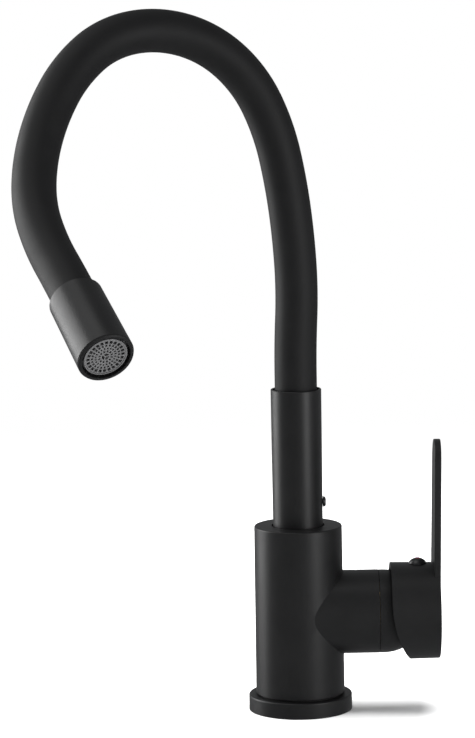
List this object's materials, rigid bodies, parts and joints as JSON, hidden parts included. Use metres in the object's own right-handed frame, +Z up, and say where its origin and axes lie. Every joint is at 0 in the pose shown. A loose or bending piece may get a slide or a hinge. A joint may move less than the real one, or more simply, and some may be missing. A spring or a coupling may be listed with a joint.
{
  "type": "single-lever kitchen mixer with flexible spout",
  "caption": "Deck-mounted kitchen mixer tap with side lever, swivelling bendable spout and round aerator head",
  "frame": {"origin": "centre of the face that stands on the deck", "axes": "+Z up along the body's axis, +X along the valve branch towards the lever"},
  "size_m": [0.2132, 0.2243, 0.3678],
  "materials": {
    "black_metal": "matte black powder coat on cast and turned metal",
    "black_trim": "satin black moulded plastic",
    "silicone": "soft-touch black silicone sleeve",
    "neck_steel": "interlocked steel strip",
    "tube_plastic": "natural PEX tube",
    "seal_rubber": "black EPDM seal",
    "brass": "turned brass",
    "ceramic": "lapped ceramic",
    "cartridge_plastic": "moulded acetal",
    "screw_steel": "stainless fastener",
    "aerator_grey": "grey moulded aerator",
    "mark_red": "red hot-side mark",
    "mark_blue": "blue cold-side mark"
  },
  "bodies": {
    "base": {"base_ring": "black_metal", "base_gasket": "seal_rubber", "body_seal": "seal_rubber", "valve_body": "black_metal", "cartridge_case": "cartridge_plastic", "port_seals": "seal_rubber", "fixed_disc": "ceramic", "cartridge_nut": "brass", "dome_cover": "black_metal", "retaining_ring": "screw_steel", "slip_ring": "cartridge_plastic"},
    "mixer": {"rotor": "cartridge_plastic", "pivot_pin": "screw_steel"},
    "handle": {"handle": "black_metal", "valve_stem": "screw_steel", "set_screw": "screw_steel", "indicator_button": "black_trim", "hot_mark": "mark_red", "cold_mark": "mark_blue"},
    "disc": {"moving_disc": "ceramic", "disc_carrier": "cartridge_plastic"},
    "spout": {"spout_shank": "brass", "shank_seals": "seal_rubber", "spout_sleeve": "black_metal", "sleeve_screw": "black_trim", "hose_ferrule": "screw_steel", "neck_skin_1": "silicone", "neck_core_1": "neck_steel", "water_tube_1": "tube_plastic"},
    "neck_2": {"neck_skin_2": "silicone", "neck_core_2": "neck_steel", "water_tube_2": "tube_plastic"},
    "neck_3": {"neck_skin_3": "silicone", "neck_core_3": "neck_steel", "water_tube_3": "tube_plastic"},
    "neck_4": {"neck_skin_4": "silicone", "neck_core_4": "neck_steel", "water_tube_4": "tube_plastic"},
    "neck_5": {"neck_skin_5": "silicone", "neck_core_5": "neck_steel", "water_tube_5": "tube_plastic"},
    "neck_6": {"neck_skin_6": "silicone", "neck_core_6": "neck_steel", "water_tube_6": "tube_plastic"},
    "neck_7": {"neck_skin_7": "silicone", "neck_core_7": "neck_steel", "water_tube_7": "tube_plastic"},
    "head": {"head_shell": "black_metal", "head_fitting": "brass", "flow_limiter": "cartridge_plastic", "aerator_washer": "seal_rubber", "aerator_case": "aerator_grey", "aerator_jets": "cartridge_plastic", "aerator_screen": "screw_steel", "aerator_grid": "aerator_grey", "neck_skin_8": "silicone", "neck_core_8": "neck_steel", "water_tube_8": "tube_plastic"}
  },
  "joints": [
    {"name": "temperature", "type": "hinge", "parent": "base", "child": "mixer", "pos_m": [0.0445, 0, 0.0512], "axis": [1, 0, 0], "range_deg": [-45, 45]},
    {"name": "flow", "type": "hinge", "parent": "mixer", "child": "handle", "pos_m": [0.0445, 0, 0.0512], "axis": [0, 1, 0], "range_deg": [0, 25]},
    {"name": "disc_slide", "type": "slide", "parent": "mixer", "child": "disc", "axis": [0, 0, 1], "range_m": [0, 0.0056]},
    {"name": "swivel", "type": "hinge", "parent": "base", "child": "spout", "pos_m": [0, 0, 0.096], "axis": [0, 0, 1], "continuous": true},
    {"name": "curl_1", "type": "hinge", "parent": "spout", "child": "neck_2", "pos_m": [0.00074, 0.00003, 0.20659], "axis": [0.0349, -0.9994, 0], "range_deg": [-25, 8]},
    {"name": "sway_2", "type": "hinge", "parent": "neck_2", "child": "neck_3", "pos_m": [-0.00172, -0.00021, 0.26306], "axis": [-0.9871, -0.1039, -0.1219], "range_deg": [-12, 12]},
    {"name": "curl_3", "type": "hinge", "parent": "neck_3", "child": "neck_4", "pos_m": [-0.01515, -0.00228, 0.31775], "axis": [0.2563, -0.9662, 0.0284], "range_deg": [-25, 8]},
    {"name": "sway_4", "type": "hinge", "parent": "neck_4", "child": "neck_5", "pos_m": [-0.0545, -0.01409, 0.35415], "axis": [-0.2224, -0.2106, -0.9519], "range_deg": [-12, 12]},
    {"name": "curl_5", "type": "hinge", "parent": "neck_5", "child": "neck_6", "pos_m": [-0.10174, -0.0401, 0.34604], "axis": [0.3798, -0.8376, 0.3928], "range_deg": [-25, 8]},
    {"name": "sway_6", "type": "hinge", "parent": "neck_6", "child": "neck_7", "pos_m": [-0.12443, -0.07349, 0.30717], "axis": [0.9791, -0.1582, -0.128], "range_deg": [-12, 12]},
    {"name": "curl_7", "type": "hinge", "parent": "neck_7", "child": "head", "pos_m": [-0.12374, -0.11253, 0.26697], "axis": [-0.4371, -0.6553, 0.6161], "range_deg": [-25, 8]}
  ],
  "couplings": [
    {"joint": "disc_slide", "follows": "flow", "m_per_rad": 0.0123}
  ]
}
